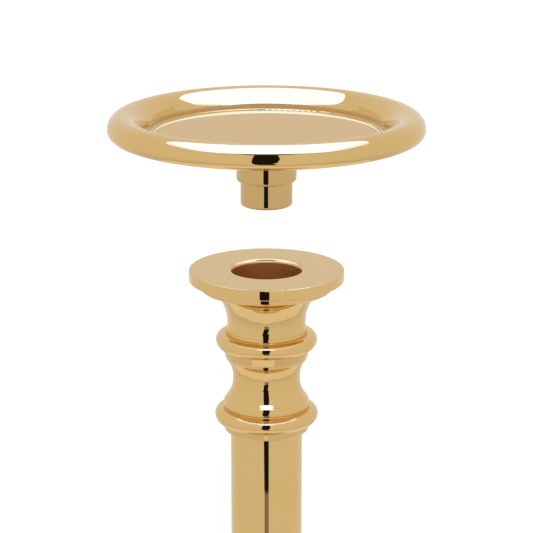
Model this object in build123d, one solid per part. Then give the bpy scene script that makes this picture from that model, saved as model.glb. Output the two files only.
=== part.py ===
"""Turned brass candlestick with a lift-off plate for a pillar candle.

Origin: centre of the base underside. +Z runs up the stick. Millimetres.
The plate is shown lifted off its seat, with its plug hanging over the taper socket.
Every outline is drawn as (radius, height) and turned round the Z axis.
"""
import os
from math import acos, asin, cos, degrees, radians, sin

from build123d import *

# Whole object
STICK_HEIGHT = 260.0  # floor to the top face of the drip flange
PLATE_LIFT = 43.3  # plate underside above the drip flange, as shown

# Pillar plate: heights are above the flat underside of the plate
RIM_RADIUS = 51.05
RIM_BOTTOM = 1.0
RIM_OUTER_ARC = 4.65
RIM_LOWER_ARC = 2.8
RIM_INNER_ARC = 8.1
BEAD_ARC = 1.0  # small bead at the inner foot of the rim
PAN_RADIUS = 36.9
PAN_THICKNESS = 1.5
PAN_FLAT_RADIUS = 34.2  # flat middle of the pan, inside its dished margin
PAN_MARGIN_RISE = 0.2
PAN_MARGIN_SAG = 0.05
PAN_UNDERSIDE_RADIUS = 40.0

# Stepped plug under the plate
PLUG_COLLAR_RADIUS = 9.95
PLUG_COLLAR_FOOT_RADIUS = 9.72
PLUG_COLLAR_LENGTH = 13.6
PLUG_SPIGOT_RADIUS = 8.42
PLUG_LENGTH = 21.7
PLUG_ROUND = 0.9
BOSS_RADIUS = 6.0  # blind boss of the plate that the plug is screwed to
BOSS_LENGTH = 4.0
STUD_RADIUS = 2.5
STUD_LENGTH = 14.0

# Socket cup: levels are below the top face of the drip flange
SOCKET_RADIUS = 11.35
SOCKET_DEPTH = 26.0
SOCKET_LIP = 1.25
SOCKET_FLOOR_ROUND = 1.5
FLANGE_RADIUS = 25.4
FLANGE_THICKNESS = 3.5
FLANGE_ROUND = 0.35
STEP_RADIUS = 21.8
STEP_BOTTOM = 6.4
STEP_ROUND = 0.8
NECK_RADIUS = 12.9
NECK_LEVEL = 17.8
NECK_ARC = 14.5
SHANK_RADIUS = 12.4
CUP_BOTTOM = 29.6
CUP_BOSS_RADIUS = 6.5
CUP_BOSS_LENGTH = 8.0

# Upper ring: a fillet, a bead and a collar that narrows downwards
UPPER_RING_TOP = 20.2
UPPER_FILLET_RADIUS = 13.4
UPPER_BEAD_RADIUS = 16.7
UPPER_BEAD_LEVEL = 23.9
UPPER_BEAD_TOP_ARC = 2.45
UPPER_BEAD_FOOT_ARC = 2.85
UPPER_COLLAR_RADIUS = 14.33
UPPER_COLLAR_FOOT_RADIUS = 13.75

# Waist spool between the rings: a cove that ends in a rounded bell
WAIST_RADIUS = 11.15
WAIST_HEAD_RADIUS = 13.35
WAIST_TOP = 36.5  # the narrow part runs straight from here
WAIST_FOOT = 37.6  # to here
WAIST_UPPER_ARC = 10.0
WAIST_LOWER_ARC = 9.3
BELL_JOIN = 43.69
BELL_ARC = 3.3
SPIGOT_RADIUS = 8.5
SPIGOT_LENGTH = 3.0

# Lower ring: a low fillet, a bead and the collar that holds the column
LOWER_RING_TOP = 47.1
LOWER_RING_BOTTOM = 54.8
LOWER_FILLET_RADIUS = 14.0
LOWER_BEAD_RADIUS = 17.09
LOWER_BEAD_LEVEL = 49.6
LOWER_BEAD_TOP_ARC = 2.4
LOWER_BEAD_FOOT_ARC = 2.8
LOWER_COLLAR_RADIUS = 14.4
LOWER_COLLAR_FOOT_RADIUS = 14.1
COLLAR_ROUND = 0.4

# Column: heights are above the floor
COLUMN_RADIUS = 11.9
COLUMN_WALL = 1.5
COLUMN_SEAT = 3.0  # how far the tube goes into each ring
COLUMN_FOOT = 84.0
BUSH_LENGTH = 10.0

# Base: heights are above the floor
BASE_SWEEP = 36.5  # radius of the trumpet sweep from neck to shoulder
BASE_WALL = 2.6
BASE_RADIUS = 62.0
BASE_BAND_TOP = 8.0
BASE_BOTTOM = 1.5
BASE_ROUND = 0.7
BASE_CEILING = 22.0
OVOLO_OUTER_RADIUS = 59.5
OVOLO_INNER_RADIUS = 50.8
OVOLO_TOP = 12.0
OVOLO_BULGE = 1.3
SKIRT_RADIUS = 59.0  # inside of the base band
SKIRT_TOP = 5.6
FELT_RADIUS = 60.5
WEIGHT_BOTTOM = 3.0
WEIGHT_RADIUS = 56.0
WEIGHT_EDGE_TOP = 5.0
WEIGHT_SHOULDER_RADIUS = 44.0
WEIGHT_GAP = 1.0
RECESS_RADIUS = 14.0
RECESS_TOP = 12.0

# Tie rod and its fastening
ROD_RADIUS = 3.0
ROD_HOLE_RADIUS = 3.3
ROD_BOTTOM = 3.2
ROD_ENGAGEMENT = 7.0
SOCKETED_GAP = 0.2  # end gap of a spigot in its recess
WASHER_RADIUS = 9.0
WASHER_THICKNESS = 1.6
LOCK_RADIUS = 5.9
LOCK_THICKNESS = 1.5
LOCK_SPLIT = 0.8
NUT_ACROSS_FLATS = 10.0
NUT_HEIGHT = 5.0

plate_under = STICK_HEIGHT + PLATE_LIFT
mirror_level = (COLUMN_FOOT + STICK_HEIGHT - LOWER_RING_BOTTOM) / 2
foot_shank_top = 2 * mirror_level - (STICK_HEIGHT - CUP_BOTTOM)
base_neck_top = 2 * mirror_level - (STICK_HEIGHT - UPPER_RING_TOP)


def arc(centre, radius, start, end):
    """Arc on a circle from one angle to another, in degrees."""
    def on_circle(angle):
        turn = radians(angle)
        return (centre[0] + radius * cos(turn), centre[1] + radius * sin(turn))
    return ThreePointArc(on_circle(start), on_circle((start + end) / 2), on_circle(end))


def angle_at_height(centre, radius, height):
    """Angle on the right half of a circle where it crosses a height."""
    return degrees(asin((height - centre[1]) / radius))


def bead(reach, height, foot_arc, top_arc, below, above):
    """Outer side of a turned bead: an arc up to its widest point and one from there to its top."""
    foot_centre = reach - foot_arc
    top_centre = reach - top_arc
    start = -degrees(acos((below - foot_centre) / foot_arc))
    end = degrees(acos((above - top_centre) / top_arc))
    return arc((foot_centre, height), foot_arc, start, 0), arc((top_centre, height), top_arc, 0, end)


def outside_round(radius, height, size, up):
    """Quarter round on an outer corner; the outline climbs, up to or away from the corner."""
    if up:
        return arc((radius - size, height - size), size, 0, 90)
    return arc((radius - size, height + size), size, -90, 0)


def turned(*items):
    """Solid of revolution. Points are joined by lines; edges are taken as they are, in order."""
    heads = [Vector(*item) if isinstance(item, tuple) else item @ 0 for item in items]
    tails = [Vector(*item) if isinstance(item, tuple) else item @ 1 for item in items]
    edges = [item for item in items if not isinstance(item, tuple)]
    for tail, head in zip(tails, heads[1:] + heads[:1]):
        if (head - tail).length > 1e-6:
            edges.append(Line(tail, head))
    return revolve(Plane.XZ * make_face(edges), Axis.Z)


def sleeve(inner, outer, bottom, top):
    """Plain ring, disc with a hole, or tube."""
    return turned((inner, bottom), (outer, bottom), (outer, top), (inner, top))


def plate_dish():
    """Pan with its rolled rim, the bead at the rim's foot, and a blind boss underneath."""
    widest = plate_under + RIM_BOTTOM + RIM_LOWER_ARC
    lower_centre = (RIM_RADIUS - RIM_LOWER_ARC, widest)
    outer_centre = (RIM_RADIUS - RIM_OUTER_ARC, widest)
    inner_centre = (outer_centre[0], widest + RIM_OUTER_ARC - RIM_INNER_ARC)
    floor = plate_under + PAN_THICKNESS
    margin_edge = floor + PAN_MARGIN_RISE
    bead_centre = (PAN_RADIUS + BEAD_ARC, margin_edge)
    foot_angle = 180 - angle_at_height(inner_centre, RIM_INNER_ARC, margin_edge + BEAD_ARC)
    boss_end = plate_under - BOSS_LENGTH
    return turned(
        (0, plate_under),
        (STUD_RADIUS, plate_under),
        (STUD_RADIUS, boss_end),
        (BOSS_RADIUS, boss_end),
        (BOSS_RADIUS, plate_under),
        (PAN_UNDERSIDE_RADIUS, plate_under),
        arc(lower_centre, RIM_LOWER_ARC, -90, 0),
        arc(outer_centre, RIM_OUTER_ARC, 0, 90),
        arc(inner_centre, RIM_INNER_ARC, 90, foot_angle),
        arc(bead_centre, BEAD_ARC, 90, 180),
        SagittaArc((PAN_RADIUS, margin_edge), (PAN_FLAT_RADIUS, floor), PAN_MARGIN_SAG),
        (0, floor),
    )


def plate_plug():
    """Stepped plug that drops into the taper socket, bored from above for boss and stud."""
    foot = plate_under - PLUG_LENGTH
    collar_foot = plate_under - PLUG_COLLAR_LENGTH
    boss_end = plate_under - BOSS_LENGTH
    stud_end = plate_under - STUD_LENGTH
    return turned(
        (0, foot),
        outside_round(PLUG_SPIGOT_RADIUS, foot, PLUG_ROUND, up=False),
        (PLUG_SPIGOT_RADIUS, collar_foot),
        outside_round(PLUG_COLLAR_FOOT_RADIUS, collar_foot, PLUG_ROUND, up=False),
        (PLUG_COLLAR_RADIUS, plate_under),
        (BOSS_RADIUS, plate_under),
        (BOSS_RADIUS, boss_end),
        (STUD_RADIUS, boss_end),
        (STUD_RADIUS, stud_end),
        (0, stud_end),
    )


def plug_stud():
    """Headless stud that joins plug and plate, hidden inside both."""
    return turned(
        (0, plate_under - STUD_LENGTH),
        (STUD_RADIUS, plate_under - STUD_LENGTH),
        (STUD_RADIUS, plate_under),
        (0, plate_under),
    )


def socket_cup():
    """Drip flange, step, cove neck and taper socket, with a tapped boss for the tie rod."""
    top = STICK_HEIGHT
    under = top - CUP_BOTTOM
    boss_end = under - CUP_BOSS_LENGTH
    neck_end = top - UPPER_RING_TOP
    step_under = top - STEP_BOTTOM
    flange_under = top - FLANGE_THICKNESS
    cove_centre = (NECK_RADIUS + NECK_ARC, top - NECK_LEVEL)
    cove_foot = 180 - angle_at_height(cove_centre, NECK_ARC, neck_end)
    cove_head = 180 - angle_at_height(cove_centre, NECK_ARC, step_under)
    floor = top - SOCKET_DEPTH
    floor_corner = (SOCKET_RADIUS - SOCKET_FLOOR_ROUND, floor + SOCKET_FLOOR_ROUND)
    return turned(
        (0, boss_end + ROD_ENGAGEMENT),
        (ROD_RADIUS, boss_end + ROD_ENGAGEMENT),
        (ROD_RADIUS, boss_end),
        (CUP_BOSS_RADIUS, boss_end),
        (CUP_BOSS_RADIUS, under),
        (SHANK_RADIUS, under),
        (SHANK_RADIUS, neck_end),
        arc(cove_centre, NECK_ARC, cove_foot, cove_head),
        outside_round(STEP_RADIUS, step_under, STEP_ROUND, up=False),
        (STEP_RADIUS, flange_under),
        outside_round(FLANGE_RADIUS, flange_under, FLANGE_ROUND, up=False),
        outside_round(FLANGE_RADIUS, top, FLANGE_ROUND, up=True),
        arc((SOCKET_RADIUS + SOCKET_LIP, top - SOCKET_LIP), SOCKET_LIP, 90, 180),
        arc(floor_corner, SOCKET_FLOOR_ROUND, 0, -90),
        (0, floor),
    )


def upper_ring():
    """Bead ring that slips over the shank of the socket cup."""
    top = STICK_HEIGHT - UPPER_RING_TOP
    bottom = STICK_HEIGHT - CUP_BOTTOM
    level = STICK_HEIGHT - UPPER_BEAD_LEVEL
    return turned(
        (SHANK_RADIUS, bottom),
        outside_round(UPPER_COLLAR_FOOT_RADIUS, bottom, COLLAR_ROUND, up=False),
        *bead(
            UPPER_BEAD_RADIUS,
            level,
            UPPER_BEAD_FOOT_ARC,
            UPPER_BEAD_TOP_ARC,
            below=UPPER_COLLAR_RADIUS,
            above=UPPER_FILLET_RADIUS,
        ),
        (UPPER_FILLET_RADIUS, top),
        (SHANK_RADIUS, top),
    )


def waist_spool():
    """Cove and bell between the two rings, bored for the tie rod."""
    top = STICK_HEIGHT - CUP_BOTTOM
    bottom = STICK_HEIGHT - LOWER_RING_TOP
    join = STICK_HEIGHT - BELL_JOIN
    upper_centre = (WAIST_RADIUS + WAIST_UPPER_ARC, STICK_HEIGHT - WAIST_TOP)
    lower_centre = (WAIST_RADIUS + WAIST_LOWER_ARC, STICK_HEIGHT - WAIST_FOOT)
    cove_head = degrees(acos((WAIST_HEAD_RADIUS - upper_centre[0]) / WAIST_UPPER_ARC))
    slope = degrees(asin((lower_centre[1] - join) / WAIST_LOWER_ARC))
    reach = WAIST_LOWER_ARC + BELL_ARC
    bell_centre = (
        lower_centre[0] - reach * cos(radians(slope)),
        lower_centre[1] - reach * sin(radians(slope)),
    )
    bell_foot = angle_at_height(bell_centre, BELL_ARC, bottom)
    recess_floor = top - CUP_BOSS_LENGTH - SOCKETED_GAP
    return turned(
        (ROD_HOLE_RADIUS, bottom - SPIGOT_LENGTH),
        (SPIGOT_RADIUS, bottom - SPIGOT_LENGTH),
        (SPIGOT_RADIUS, bottom),
        arc(bell_centre, BELL_ARC, bell_foot, slope),
        arc(lower_centre, WAIST_LOWER_ARC, 180 + slope, 180),
        arc(upper_centre, WAIST_UPPER_ARC, 180, cove_head),
        (WAIST_HEAD_RADIUS, top),
        (CUP_BOSS_RADIUS, top),
        (CUP_BOSS_RADIUS, recess_floor),
        (ROD_HOLE_RADIUS, recess_floor),
    )


def lower_ring():
    """Bead ring whose collar holds the end of the column."""
    top = STICK_HEIGHT - LOWER_RING_TOP
    bottom = STICK_HEIGHT - LOWER_RING_BOTTOM
    level = STICK_HEIGHT - LOWER_BEAD_LEVEL
    recess_floor = top - SPIGOT_LENGTH - SOCKETED_GAP
    return turned(
        (COLUMN_RADIUS, bottom),
        outside_round(LOWER_COLLAR_FOOT_RADIUS, bottom, COLLAR_ROUND, up=False),
        *bead(
            LOWER_BEAD_RADIUS,
            level,
            LOWER_BEAD_FOOT_ARC,
            LOWER_BEAD_TOP_ARC,
            below=LOWER_COLLAR_RADIUS,
            above=LOWER_FILLET_RADIUS,
        ),
        (LOWER_FILLET_RADIUS, top),
        (SPIGOT_RADIUS, top),
        (SPIGOT_RADIUS, recess_floor),
        (ROD_HOLE_RADIUS, recess_floor),
        (ROD_HOLE_RADIUS, bottom + COLUMN_SEAT),
        (COLUMN_RADIUS, bottom + COLUMN_SEAT),
    )


def column_tube():
    """Plain drawn tube between the two rings that hold it."""
    bottom = COLUMN_FOOT - COLUMN_SEAT
    top = STICK_HEIGHT - LOWER_RING_BOTTOM + COLUMN_SEAT
    return sleeve(COLUMN_RADIUS - COLUMN_WALL, COLUMN_RADIUS, bottom, top)


def column_bush():
    """Bush that centres the tie rod in the upper end of the column."""
    top = STICK_HEIGHT - LOWER_RING_BOTTOM + COLUMN_SEAT
    return sleeve(ROD_HOLE_RADIUS, COLUMN_RADIUS - COLUMN_WALL, top - BUSH_LENGTH, top)


def base_shell():
    """Hollow trumpet base on a moulded foot, with the shank that carries the foot ring."""
    boss_end = foot_shank_top + CUP_BOSS_LENGTH
    sweep_centre = (NECK_RADIUS + BASE_SWEEP, base_neck_top)
    inner_sweep = BASE_SWEEP + BASE_WALL
    ceiling_angle = 180 - angle_at_height(sweep_centre, inner_sweep, BASE_CEILING)
    return turned(
        (ROD_HOLE_RADIUS, BASE_CEILING),
        arc(sweep_centre, inner_sweep, ceiling_angle, 270),
        (SKIRT_RADIUS, SKIRT_TOP),
        (SKIRT_RADIUS, BASE_BOTTOM),
        outside_round(BASE_RADIUS, BASE_BOTTOM, BASE_ROUND, up=False),
        outside_round(BASE_RADIUS, BASE_BAND_TOP, BASE_ROUND, up=True),
        SagittaArc(
            (OVOLO_OUTER_RADIUS, BASE_BAND_TOP),
            (OVOLO_INNER_RADIUS, OVOLO_TOP),
            -OVOLO_BULGE,
        ),
        (OVOLO_INNER_RADIUS, base_neck_top - BASE_SWEEP),
        arc(sweep_centre, BASE_SWEEP, 270, 180),
        (SHANK_RADIUS, base_neck_top),
        (SHANK_RADIUS, foot_shank_top),
        (CUP_BOSS_RADIUS, foot_shank_top),
        (CUP_BOSS_RADIUS, boss_end),
        (ROD_HOLE_RADIUS, boss_end),
    )


def base_weight():
    """Cast weight that fills the base, recessed underneath for the nut."""
    sweep_centre = (NECK_RADIUS + BASE_SWEEP, base_neck_top)
    sweep = BASE_SWEEP + BASE_WALL + WEIGHT_GAP
    shoulder_angle = -degrees(acos((WEIGHT_SHOULDER_RADIUS - sweep_centre[0]) / sweep))
    top_angle = -180 - angle_at_height(sweep_centre, sweep, BASE_CEILING)
    return turned(
        (RECESS_RADIUS, WEIGHT_BOTTOM),
        (WEIGHT_RADIUS, WEIGHT_BOTTOM),
        (WEIGHT_RADIUS, WEIGHT_EDGE_TOP),
        arc(sweep_centre, sweep, shoulder_angle, top_angle),
        (ROD_HOLE_RADIUS, BASE_CEILING),
        (ROD_HOLE_RADIUS, RECESS_TOP),
        (RECESS_RADIUS, RECESS_TOP),
    )


def felt_pad():
    """Felt disc under the base."""
    return Pos(0, 0, BASE_BOTTOM / 2) * Cylinder(FELT_RADIUS, BASE_BOTTOM)


def tie_rod():
    """Threaded rod from the socket cup down to the nut under the weight."""
    top = STICK_HEIGHT - CUP_BOTTOM - CUP_BOSS_LENGTH + ROD_ENGAGEMENT
    length = top - ROD_BOTTOM
    return Pos(0, 0, ROD_BOTTOM + length / 2) * Cylinder(ROD_RADIUS, length)


def clamp_washer():
    """Wide plain washer against the weight."""
    return sleeve(ROD_HOLE_RADIUS, WASHER_RADIUS, RECESS_TOP - WASHER_THICKNESS, RECESS_TOP)


def lock_washer():
    """Split spring washer under the plain one."""
    top = RECESS_TOP - WASHER_THICKNESS
    ring = sleeve(ROD_HOLE_RADIUS, LOCK_RADIUS, top - LOCK_THICKNESS, top)
    split = Pos(LOCK_RADIUS, 0, top) * Box(2 * LOCK_RADIUS, LOCK_SPLIT, 4 * LOCK_THICKNESS)
    return ring - split


def clamp_nut():
    """Hexagon nut on the lower end of the tie rod."""
    top = RECESS_TOP - WASHER_THICKNESS - LOCK_THICKNESS
    hexagon = RegularPolygon(NUT_ACROSS_FLATS / 2, 6, major_radius=False)
    outline = hexagon - Circle(ROD_RADIUS)
    return extrude(Pos(0, 0, top - NUT_HEIGHT) * outline, NUT_HEIGHT)


def at_foot(piece):
    """The same piece turned upside down at the lower end of the column."""
    return mirror(piece, about=Plane.XY.offset(mirror_level))


nodes = {
    "plate_dish": plate_dish(),
    "plate_plug": plate_plug(),
    "plug_stud": plug_stud(),
    "socket_cup": socket_cup(),
    "upper_ring": upper_ring(),
    "waist_spool": waist_spool(),
    "column_head_ring": lower_ring(),
    "column_tube": column_tube(),
    "column_head_bush": column_bush(),
    "column_foot_bush": at_foot(column_bush()),
    "column_foot_ring": at_foot(lower_ring()),
    "foot_spool": at_foot(waist_spool()),
    "base_neck_ring": at_foot(upper_ring()),
    "base_shell": base_shell(),
    "base_weight": base_weight(),
    "felt_pad": felt_pad(),
    "tie_rod": tie_rod(),
    "clamp_washer": clamp_washer(),
    "lock_washer": lock_washer(),
    "clamp_nut": clamp_nut(),
}

os.makedirs("parts", exist_ok=True)
for name, shape in nodes.items():
    export_step(shape, f"parts/{name}.step")
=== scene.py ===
"""Looks, light and camera for the brass pillar candle holder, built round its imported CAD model."""

import math

import bpy
from mathutils import Euler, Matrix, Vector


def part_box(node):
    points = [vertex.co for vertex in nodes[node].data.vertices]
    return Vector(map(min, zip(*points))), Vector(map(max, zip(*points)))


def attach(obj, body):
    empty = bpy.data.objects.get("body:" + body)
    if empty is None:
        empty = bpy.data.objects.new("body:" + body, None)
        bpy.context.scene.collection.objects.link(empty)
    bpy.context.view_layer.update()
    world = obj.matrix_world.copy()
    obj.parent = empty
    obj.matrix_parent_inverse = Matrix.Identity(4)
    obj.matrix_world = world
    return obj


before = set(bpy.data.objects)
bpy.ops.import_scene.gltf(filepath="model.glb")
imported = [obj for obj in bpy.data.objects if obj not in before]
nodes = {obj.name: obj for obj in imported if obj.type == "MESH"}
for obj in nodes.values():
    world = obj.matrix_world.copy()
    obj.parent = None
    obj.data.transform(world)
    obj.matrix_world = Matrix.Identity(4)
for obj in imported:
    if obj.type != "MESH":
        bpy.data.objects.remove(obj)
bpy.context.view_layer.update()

FLANGE_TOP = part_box("socket_cup")[1].z  # the stick's top, which the camera's place is measured from
PLATE_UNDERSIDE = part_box("plate_plug")[1].z  # the plug stops there
PAN_LEVEL = PLATE_UNDERSIDE + 0.0015
PAN_RADIUS = 0.0352
BORE_RADIUS = 0.0115
BORE_DEPTH = 0.027
BORE_LIP = 0.001

# Brass, as linear colours
BRASS = (0.80, 0.545, 0.222)
BRASS_WARM = (0.785, 0.525, 0.208)
# The bore's brass, darker and warmer than BRASS: painted shade inside the socket's bore
BORE_BRASS_PAINTED_SHADE = (0.76, 0.47, 0.20)
PLUG_BRASS = (0.69, 0.455, 0.188)
PLUG_BRASS_WARM = (0.66, 0.43, 0.17)


# ---------------------------------------------------------------- node helpers


def new_material(name):
    material = bpy.data.materials.new(name)
    material.use_nodes = True
    tree = material.node_tree
    tree.nodes.clear()
    output = tree.nodes.new("ShaderNodeOutputMaterial")
    return material, tree, output


def add(tree, kind, inputs=(), **settings):
    """A new node with its settings, and its input sockets set or linked by name or number."""
    node = tree.nodes.new(kind)
    for key, value in settings.items():
        setattr(node, key, value)
    for key, value in dict(inputs).items():
        if isinstance(value, bpy.types.NodeSocket):
            tree.links.new(value, node.inputs[key])
        else:
            node.inputs[key].default_value = value
    return node


def math_node(tree, operation, a, b=0.0, c=0.0):
    return add(tree, "ShaderNodeMath", {0: a, 1: b, 2: c}, operation=operation).outputs[0]


def noise(tree, vector, scale, detail, roughness=0.5):
    return add(
        tree,
        "ShaderNodeTexNoise",
        {"Vector": vector, "Scale": scale, "Detail": detail, "Roughness": roughness},
    ).outputs[0]


def spread(tree, value, low, high, to_low, to_high):
    """value's range from low to high, carried over to another range."""
    return add(
        tree,
        "ShaderNodeMapRange",
        {"Value": value, "From Min": low, "From Max": high, "To Min": to_low, "To Max": to_high},
    ).outputs[0]


def mixed(tree, share, first, second):
    """A colour between two: each is a socket or a plain colour."""
    node = add(tree, "ShaderNodeMix", data_type="RGBA")
    for socket, value in ((0, share), (6, first), (7, second)):
        if isinstance(value, bpy.types.NodeSocket):
            tree.links.new(value, node.inputs[socket])
        else:
            node.inputs[socket].default_value = (*value, 1.0)
    return node.outputs[2]


def object_place(tree):
    return add(tree, "ShaderNodeTexCoord").outputs["Object"]


# ---------------------------------------------------------------- materials

TURNING_SCALE = 2600.0
TURNING_ON_FLATS = 0.8  # share of the radius in the turning lines' run, so flat faces have them too
TURNING_DEPTH = 0.00002
INNER_LINES = 0.05
CLOUD_SCALE = 38.0
SMEAR_SCALE = 160.0
MASK_SIDE_SOFTNESS = 0.0002
MASK_END_SOFTNESS = 0.0001


def turned_brass(name, colour=BRASS, warm=BRASS_WARM, gloss=0.024, lines=0.0015, inner=None):
    """Polished brass from the lathe: very fine turning lines round the axis, and a soft uneven polish.

    inner is (radius, lowest, highest, colour, added roughness): the part of the piece inside that
    radius, between those heights, that the lathe left with a coarser finish, in its own colour; a
    darker colour there, as in the socket's bore, is painted shade."""
    material, tree, output = new_material(name)
    place = object_place(tree)
    x, y, z = add(tree, "ShaderNodeSeparateXYZ", {0: place}).outputs
    x_squared = math_node(tree, "MULTIPLY", x, x)
    y_squared = math_node(tree, "MULTIPLY", y, y)
    radius = math_node(tree, "SQRT", math_node(tree, "ADD", x_squared, y_squared))
    turning = add(
        tree,
        "ShaderNodeTexNoise",
        {
            "W": math_node(tree, "MULTIPLY_ADD", radius, TURNING_ON_FLATS, z),
            "Scale": TURNING_SCALE,
            "Detail": 2.0,
        },
        noise_dimensions="1D",
    ).outputs[0]
    cloud = noise(tree, place, CLOUD_SCALE, 3.0)
    smear = noise(tree, place, SMEAR_SCALE, 2.0)
    base = mixed(tree, spread(tree, cloud, 0.3, 0.7, 0.0, 1.0), colour, warm)
    rough = spread(tree, smear, 0.3, 0.7, gloss * 0.8, gloss * 1.2)
    strength = lines
    if inner:
        edge, low, high, inner_colour, inner_rough = inner
        inside = spread(tree, radius, edge, edge + MASK_SIDE_SOFTNESS, 1.0, 0.0)
        above = spread(tree, z, low, low + MASK_END_SOFTNESS, 0.0, 1.0)
        below = spread(tree, z, high, high + MASK_END_SOFTNESS, 1.0, 0.0)
        mask = math_node(tree, "MULTIPLY", inside, math_node(tree, "MULTIPLY", above, below))
        base = mixed(tree, mask, base, inner_colour)
        rough = math_node(tree, "ADD", rough, math_node(tree, "MULTIPLY", mask, inner_rough))
        strength = math_node(tree, "MULTIPLY_ADD", mask, INNER_LINES, lines)
    bump = add(
        tree,
        "ShaderNodeBump",
        {"Height": turning, "Strength": strength, "Distance": TURNING_DEPTH},
    )
    shader = add(
        tree,
        "ShaderNodeBsdfPrincipled",
        {"Base Color": base, "Metallic": 1.0, "Roughness": rough, "Normal": bump.outputs[0]},
    )
    tree.links.new(shader.outputs[0], output.inputs[0])
    return material


def plain_metal(name, colour, worn, rough, grain, depth):
    """Steel or iron that is out of sight in use: a grainy skin with duller patches."""
    material, tree, output = new_material(name)
    place = object_place(tree)
    patches = noise(tree, place, 90.0, 4.0)
    skin = noise(tree, place, grain, 5.0, 0.6)
    bump = add(tree, "ShaderNodeBump", {"Height": skin, "Strength": 0.6, "Distance": depth})
    shader = add(
        tree,
        "ShaderNodeBsdfPrincipled",
        {
            "Base Color": mixed(tree, spread(tree, patches, 0.35, 0.65, 0.0, 1.0), colour, worn),
            "Metallic": 1.0,
            "Roughness": spread(tree, skin, 0.3, 0.7, rough * 0.8, rough * 1.2),
            "Normal": bump.outputs[0],
        },
    )
    tree.links.new(shader.outputs[0], output.inputs[0])
    return material


def felt_cloth(name, colour, pale):
    """Pressed wool felt: matted fibres in a tone that varies at random, with a painted highlight that
    makes them paler where they stand up.
    """
    material, tree, output = new_material(name)
    place = object_place(tree)
    tufts = noise(tree, place, 700.0, 6.0, 0.7)
    fibres = add(
        tree,
        "ShaderNodeTexNoise",
        {"Vector": place, "Scale": 2400.0, "Detail": 3.0, "Distortion": 1.6},
    ).outputs[0]
    height = math_node(tree, "ADD", tufts, math_node(tree, "MULTIPLY", fibres, 0.5))
    bump = add(tree, "ShaderNodeBump", {"Height": height, "Strength": 0.8, "Distance": 0.0003})
    shader = add(
        tree,
        "ShaderNodeBsdfPrincipled",
        {
            # Paler where the fibres stand high in the bump: painted highlight over a random fibre tone
            "Base Color": mixed(tree, spread(tree, fibres, 0.35, 0.7, 0.0, 1.0), colour, pale),
            "Roughness": spread(tree, tufts, 0.3, 0.7, 0.86, 0.98),
            "Sheen Weight": 0.5,
            "Sheen Roughness": 0.4,
            "Normal": bump.outputs[0],
        },
    )
    tree.links.new(shader.outputs[0], output.inputs[0])
    return material


brass = turned_brass("polished_brass_turned")
steel = plain_metal(
    "bright_steel", (0.56, 0.56, 0.57), (0.47, 0.46, 0.45), rough=0.28, grain=900.0, depth=0.00002
)
iron = plain_metal(
    "dark_cast_iron", (0.085, 0.083, 0.08), (0.12, 0.10, 0.085), rough=0.62, grain=1300.0, depth=0.0003
)
felt = felt_cloth("green_felt", (0.012, 0.05, 0.026), (0.04, 0.11, 0.06))

FINISH = {"polished_brass": brass, "steel": steel, "cast_iron": iron, "felt": felt}
for node in nodes.values():
    for slot in node.material_slots:
        slot.material = FINISH[slot.material.name]
# In the socket's bore the darker, warmer brass is painted shade; the added roughness is its coarser
# finish
nodes["socket_cup"].material_slots[0].material = turned_brass(
    "socket_cup_brass",
    inner=(BORE_RADIUS, FLANGE_TOP - BORE_DEPTH, FLANGE_TOP - BORE_LIP, BORE_BRASS_PAINTED_SHADE, 0.32),
)
nodes["plate_plug"].material_slots[0].material = turned_brass(
    "plate_plug_brass", PLUG_BRASS, PLUG_BRASS_WARM, gloss=0.04
)
nodes["plate_dish"].material_slots[0].material = turned_brass(
    "plate_dish_brass",
    inner=(PAN_RADIUS, PAN_LEVEL - 0.0003, PAN_LEVEL + 0.0003, BRASS, 0.02),
)


# ---------------------------------------------------------------- studio


def emitter(name, colour, one_sided=False, fade=None):
    """A glow. one_sided leaves it clear from behind; fade is (half-width where it starts to
    change, where it ends, colour there)."""
    material, tree, output = new_material(name)
    glow = add(tree, "ShaderNodeEmission", {"Color": (*colour, 1.0)})
    if fade:
        start, stop, edge_colour = fade
        x = add(tree, "ShaderNodeSeparateXYZ", {0: object_place(tree)}).outputs[0]
        share = spread(tree, math_node(tree, "ABSOLUTE", x), start, stop, 0.0, 1.0)
        tree.links.new(mixed(tree, share, colour, edge_colour), glow.inputs[0])
    shader = glow.outputs[0]
    if one_sided:
        back = add(tree, "ShaderNodeNewGeometry").outputs["Backfacing"]
        clear = add(tree, "ShaderNodeBsdfTransparent").outputs[0]
        shader = add(tree, "ShaderNodeMixShader", {0: back, 1: shader, 2: clear}).outputs[0]
    tree.links.new(shader, output.inputs[0])
    return material


def card(name, verts, faces, material):
    """A studio card that only reflections see."""
    mesh = bpy.data.meshes.new(name)
    mesh.from_pydata(verts, [], faces)
    mesh.materials.append(material)
    sheet = bpy.data.objects.new(name, mesh)
    bpy.context.scene.collection.objects.link(sheet)
    sheet.visible_camera = False
    sheet.visible_shadow = False
    sheet.visible_diffuse = False
    return sheet


def flat_card(name, outline, material):
    return card(name, outline, [range(len(outline))], material)


def ring_faces(steps, closed=True):
    """Faces of a band whose corners come in pairs, inner then outer, round an outline."""
    faces = []
    for k in range(steps if closed else steps - 1):
        n = (k + 1) % steps
        faces.append((2 * k, 2 * k + 1, 2 * n + 1, 2 * n))
    return faces


def band(name, first, last, start, end, material):
    """A card swept round the axis between two angles, from one (radius, height) to another.

    A flat band faces down if it is swept clockwise; an upright one that is swept the other way
    faces the axis."""
    steps = max(4, round(abs(end - start) / 5))
    corners = []
    for k in range(steps + 1):
        turn = math.radians(start + (end - start) * k / steps)
        corners += [(r * math.cos(turn), r * math.sin(turn), z) for r, z in (first, last)]
    return card(name, corners, ring_faces(steps + 1, closed=False), material)


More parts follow.
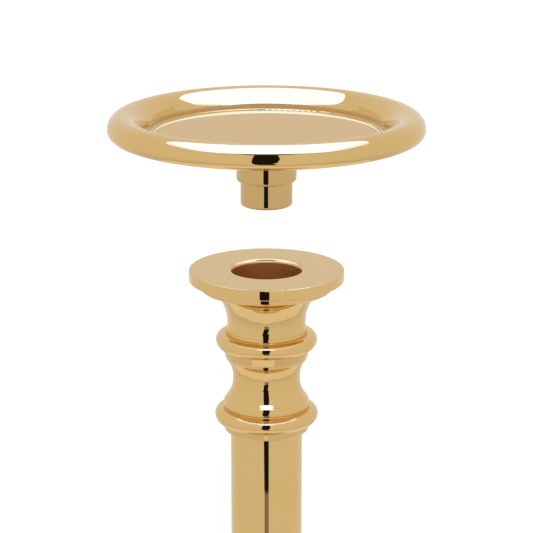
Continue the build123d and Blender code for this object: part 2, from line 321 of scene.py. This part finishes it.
def smooth_closed(corners, steps=4):
    """Points on a smooth closed curve through the corners."""
    count = len(corners)
    points = []
    for k in range(count):
        before, start, end, after = (corners[(k + j - 1) % count] for j in range(4))
        for i in range(steps):
            t = i / steps
            points.append(
                tuple(
                    0.5
                    * (
                        2 * b
                        + (c - a) * t
                        + (2 * a - 5 * b + 4 * c - d) * t**2
                        + (3 * b - a - 3 * c + d) * t**3
                    )
                    for a, b, c, d in zip(before, start, end, after)
                )
            )
    return points


# A cool light: brass, which takes most of the blue out of what it mirrors, shows it as plain white
COOL_WHITE = (1.35, 1.95, 4.4)
SOFTBOX_HEIGHT = 0.439
SOFTBOX_EDGE = (0.105, 0.16, (0.98, 1.0, 1.1))
SOFTBOX_TIP = (0.0, 0.172)
SOFTBOX_RIGHT = [
    (0.018, 0.145),
    (0.040, 0.118),
    (0.066, 0.085),
    (0.098, 0.048),
    (0.138, 0.005),
    (0.158, -0.038),
    (0.153, -0.085),
    (0.125, -0.119),
    (0.072, -0.136),
]
SOFTBOX_MIDDLE = (0.0, -0.141)
SOFTBOX_LEFT = [
    (-0.066, -0.136),
    (-0.112, -0.119),
    (-0.140, -0.086),
    (-0.146, -0.038),
    (-0.129, 0.008),
    (-0.094, 0.045),
    (-0.062, 0.075),
    (-0.035, 0.105),
    (-0.016, 0.138),
]
softbox_outline = smooth_closed([SOFTBOX_TIP, *SOFTBOX_RIGHT, SOFTBOX_MIDDLE, *SOFTBOX_LEFT])
flat_card(
    "softbox",
    [(x, y, SOFTBOX_HEIGHT) for x, y in softbox_outline],
    emitter("softbox_glow", COOL_WHITE, fade=SOFTBOX_EDGE),
)

# The dark frame along the softbox's front, widest at its middle
FRAME_FROM = -0.03
FRAME_LEFT = 0.005
FRAME_RIGHT = 0.007
FRAME_MIDDLE = 0.045
FRAME_MIDDLE_HALF = 0.065
frame_line = [p for p in softbox_outline if p[1] < FRAME_FROM]
frame_verts = []
for x, y in frame_line:
    reach = FRAME_LEFT if x < 0 else FRAME_RIGHT
    reach += FRAME_MIDDLE * max(0.0, 1 - abs(x) / FRAME_MIDDLE_HALF)
    grow = 1 + reach / math.hypot(x, y)
    frame_verts += [(x, y, SOFTBOX_HEIGHT), (x * grow, y * grow, SOFTBOX_HEIGHT)]
card(
    "softbox_frame",
    frame_verts,
    ring_faces(len(frame_line), closed=False),
    emitter("dark_cloth", (0.05, 0.03, 0.02)),
)

# Light from under the raised plate, which would otherwise keep the softbox off the socket
FILL_LEVEL = PLATE_UNDERSIDE - 0.0006
FILL_HOLE = 0.0115
FILL_MIDDLE = 0.035
FILL_OUTER = 0.068
fill_glow = emitter("socket_fill_glow", COOL_WHITE, one_sided=True)
fill_cream_glow = emitter("socket_fill_cream_glow", (1.15, 1.35, 2.0), one_sided=True)
fill_soft_glow = emitter("socket_fill_soft_glow", (1.05, 1.05, 1.1), one_sided=True)
for name, inner, outer, start, end, glow in (
    ("socket_fill", FILL_MIDDLE, FILL_OUTER, 360, 0, fill_cream_glow),
    ("socket_fill_back", FILL_HOLE, FILL_MIDDLE, 180, 0, fill_glow),
    ("socket_fill_front", FILL_HOLE, FILL_MIDDLE, 0, -180, fill_soft_glow),
):
    band(name, (inner, FILL_LEVEL), (outer, FILL_LEVEL), start, end, glow)

# An oval in front of them, for the small light on the bell's shoulder
BELL_FILL_AT = -0.078
BELL_FILL_HALF_WIDTH = 0.034
BELL_FILL_HALF_DEPTH = 0.016
BELL_FILL_CORNERS = 24
bell_fill = []
for k in range(BELL_FILL_CORNERS):
    turn = -2 * math.pi * k / BELL_FILL_CORNERS
    x = BELL_FILL_HALF_WIDTH * math.cos(turn)
    bell_fill.append((x, BELL_FILL_AT + BELL_FILL_HALF_DEPTH * math.sin(turn), FILL_LEVEL))
flat_card("bell_fill", bell_fill, fill_glow)

# Pale collars that face the axis, round the pan and round the flange: their flat tops mirror these
# evenly, and not the bright rim or the dark gap. The pan's has a bright foot for the pan's margin,
# and a shade over the small bead keeps it brown. The plate's cards move with it.
COLLAR_RADIUS = 0.0366
COLLAR_FOOT = PAN_LEVEL + 0.00065
COLLAR_TOP = PAN_LEVEL + 0.024
SHADE_LEVEL = PAN_LEVEL + 0.002
SHADE_REACH = 0.0389
for name, first, last, start, end, colour in (
    (
        "pan_collar",
        (COLLAR_RADIUS, COLLAR_FOOT),
        (COLLAR_RADIUS, COLLAR_TOP),
        0,
        360,
        (0.756, 0.70, 0.613),
    ),
    (
        "pan_collar_foot",
        (COLLAR_RADIUS, PAN_LEVEL),
        (COLLAR_RADIUS, COLLAR_FOOT),
        0,
        360,
        (1.1, 1.45, 1.8),
    ),
    (
        "bead_shade",
        (COLLAR_RADIUS, SHADE_LEVEL),
        (SHADE_REACH, SHADE_LEVEL),
        360,
        0,
        (0.62, 0.55, 0.50),
    ),
):
    glow = emitter(name + "_glow", colour, one_sided=True)
    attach(band(name, first, last, start, end, glow), "pillar_plate")

FLANGE_COLLAR_RADIUS = 0.027
FLANGE_COLLAR_FOOT = FLANGE_TOP + 0.0001
FLANGE_COLLAR_TOP = FLANGE_TOP + 0.0155
band(
    "flange_collar",
    (FLANGE_COLLAR_RADIUS, FLANGE_COLLAR_FOOT),
    (FLANGE_COLLAR_RADIUS, FLANGE_COLLAR_TOP),
    0,
    360,
    emitter("flange_collar_glow", (0.79, 0.79, 0.79), one_sided=True),
)

# The dark gap in the tent's front, which the picture is taken through, and its paler foot
GAP_DISTANCE = -0.66
GAP_OUTLINE = [
    (-0.110, 1.0),
    (0.104, 1.0),
    (0.104, 0.47),
    (0.090, 0.32),
    (0.072, 0.17),
    (0.088, 0.105),
    (0.046, 0.075),
    (0.052, 0.045),
    (0.066, 0.0),
    (0.084, -0.03),
    (0.084, -0.079),
    (-0.080, -0.079),
    (-0.104, -0.03),
    (-0.112, 0.03),
    (-0.116, 0.07),
    (-0.142, 0.10),
    (-0.115, 0.15),
]
GAP_FOOT_OUTLINE = [(-0.072, -0.079), (0.082, -0.079), (0.082, -0.2), (-0.072, -0.2)]
for name, outline, glow in (
    ("camera_gap", GAP_OUTLINE, emitter("black_cloth", (0.012, 0.012, 0.012))),
    ("camera_gap_foot", GAP_FOOT_OUTLINE, emitter("shaded_cloth", (0.26, 0.25, 0.24))),
):
    flat_card(name, [(x, GAP_DISTANCE, z) for x, z in outline], glow)

# The tent's floor as the metal sees it: a pale sheet round the base, with an uneven outer edge
SHEET_LEVEL = -0.0005
SHEET_NEAR = 0.085
SHEET_FAR = 0.262
SHEET_SPOKES = 72
sheet_verts = []
for k in range(SHEET_SPOKES):
    turn = 2 * math.pi * k / SHEET_SPOKES
    wave = 1.0 + 0.05 * math.sin(3 * turn + 0.4) + 0.035 * math.sin(7 * turn)
    for r in (SHEET_NEAR, SHEET_FAR * wave):
        sheet_verts.append((r * math.cos(turn), r * math.sin(turn), SHEET_LEVEL))
card(
    "tent_floor",
    sheet_verts,
    ring_faces(SHEET_SPOKES),
    emitter("tent_floor_glow", (0.90, 0.90, 0.90)),
)

# The tent's walls, as the world: an even pale grey, a little darker towards the ground
GROUND_GREY = (0.55, 0.55, 0.55, 1)
WALL_GREY = (0.80, 0.80, 0.80, 1)
TOP_GREY = (0.82, 0.82, 0.82, 1)
world = bpy.data.worlds.new("light_tent")
bpy.context.scene.world = world
world.use_nodes = True
tree = world.node_tree
tree.nodes.clear()
direction = add(tree, "ShaderNodeTexCoord").outputs["Generated"]
rise = add(tree, "ShaderNodeSeparateXYZ", {0: direction}).outputs[2]
ramp = add(tree, "ShaderNodeValToRGB", {0: spread(tree, rise, -1.0, 1.0, 0.0, 1.0)})
stops = ramp.color_ramp.elements
stops[0].position, stops[0].color = 0.0, GROUND_GREY
stops[1].position, stops[1].color = 0.30, WALL_GREY
stops.new(0.62).color = TOP_GREY
sky = add(tree, "ShaderNodeBackground", {"Color": ramp.outputs[0], "Strength": 1.0})
add(tree, "ShaderNodeOutputWorld", {0: sky.outputs[0]})

# Floor: a very wide pale bowl, so that its edge never shows
FLOOR_LEVEL = -0.0002  # just under the felt
BOWL_FLAT = 3.0
BOWL_FLAT_RINGS = 8
BOWL_RISE = 3.0
BOWL_RISE_RINGS = 12
SPOKES = 96
rings = []
for i in range(1, BOWL_FLAT_RINGS + 1):
    rings.append((BOWL_FLAT * i / BOWL_FLAT_RINGS, 0.0))
for i in range(1, BOWL_RISE_RINGS + 1):
    a = math.radians(90 * i / BOWL_RISE_RINGS)
    rings.append((BOWL_FLAT + BOWL_RISE * math.sin(a), BOWL_RISE * (1 - math.cos(a))))
verts = [(0.0, 0.0, FLOOR_LEVEL)]
for r, z in rings:
    for k in range(SPOKES):
        turn = 2 * math.pi * k / SPOKES
        verts.append((r * math.cos(turn), r * math.sin(turn), z + FLOOR_LEVEL))
faces = [(0, 1 + k, 1 + (k + 1) % SPOKES) for k in range(SPOKES)]
for j in range(len(rings) - 1):
    a, b = 1 + j * SPOKES, 1 + (j + 1) * SPOKES
    for k in range(SPOKES):
        n = (k + 1) % SPOKES
        faces.append((a + k, b + k, b + n, a + n))
mesh = bpy.data.meshes.new("floor")
mesh.from_pydata(verts, [], faces)
mesh.polygons.foreach_set("use_smooth", [True] * len(mesh.polygons))
floor = bpy.data.objects.new("floor", mesh)
bpy.context.scene.collection.objects.link(floor)
material, tree, output = new_material("pale_floor")
shader = add(
    tree,
    "ShaderNodeBsdfPrincipled",
    {
        "Base Color": (0.86, 0.86, 0.86, 1.0),
        "Roughness": 0.9,
        "Specular IOR Level": 0.0,
        "Emission Color": (1.0, 1.0, 1.0, 1.0),
        "Emission Strength": 0.4,
    },
)
tree.links.new(shader.outputs[0], output.inputs[0])
mesh.materials.append(material)
floor.visible_glossy = False
floor.visible_diffuse = False
floor.visible_shadow = False

# ---------------------------------------------------------------- camera

CAMERA_DISTANCE = 0.645
CAMERA_ABOVE_FLANGE = 0.1851
CAMERA_PITCH = math.radians(15.95)
SENSOR = 36.0
LENS = 138.9
CLIP_START = 0.01
CLIP_END = 50.0
GLOSSY_BOUNCES = 12  # the creases between the rings reflect each other many times

lens = bpy.data.cameras.new("camera")
lens.sensor_width = SENSOR
lens.lens = LENS
lens.clip_start = CLIP_START
lens.clip_end = CLIP_END
camera = bpy.data.objects.new("camera", lens)
bpy.context.scene.collection.objects.link(camera)
camera.location = (0.0, -CAMERA_DISTANCE, FLANGE_TOP + CAMERA_ABOVE_FLANGE)
camera.rotation_euler = Euler((math.pi / 2 - CAMERA_PITCH, 0.0, 0.0))
bpy.context.scene.camera = camera
bpy.context.scene.view_settings.view_transform = "Standard"
bpy.context.scene.cycles.glossy_bounces = GLOSSY_BOUNCES
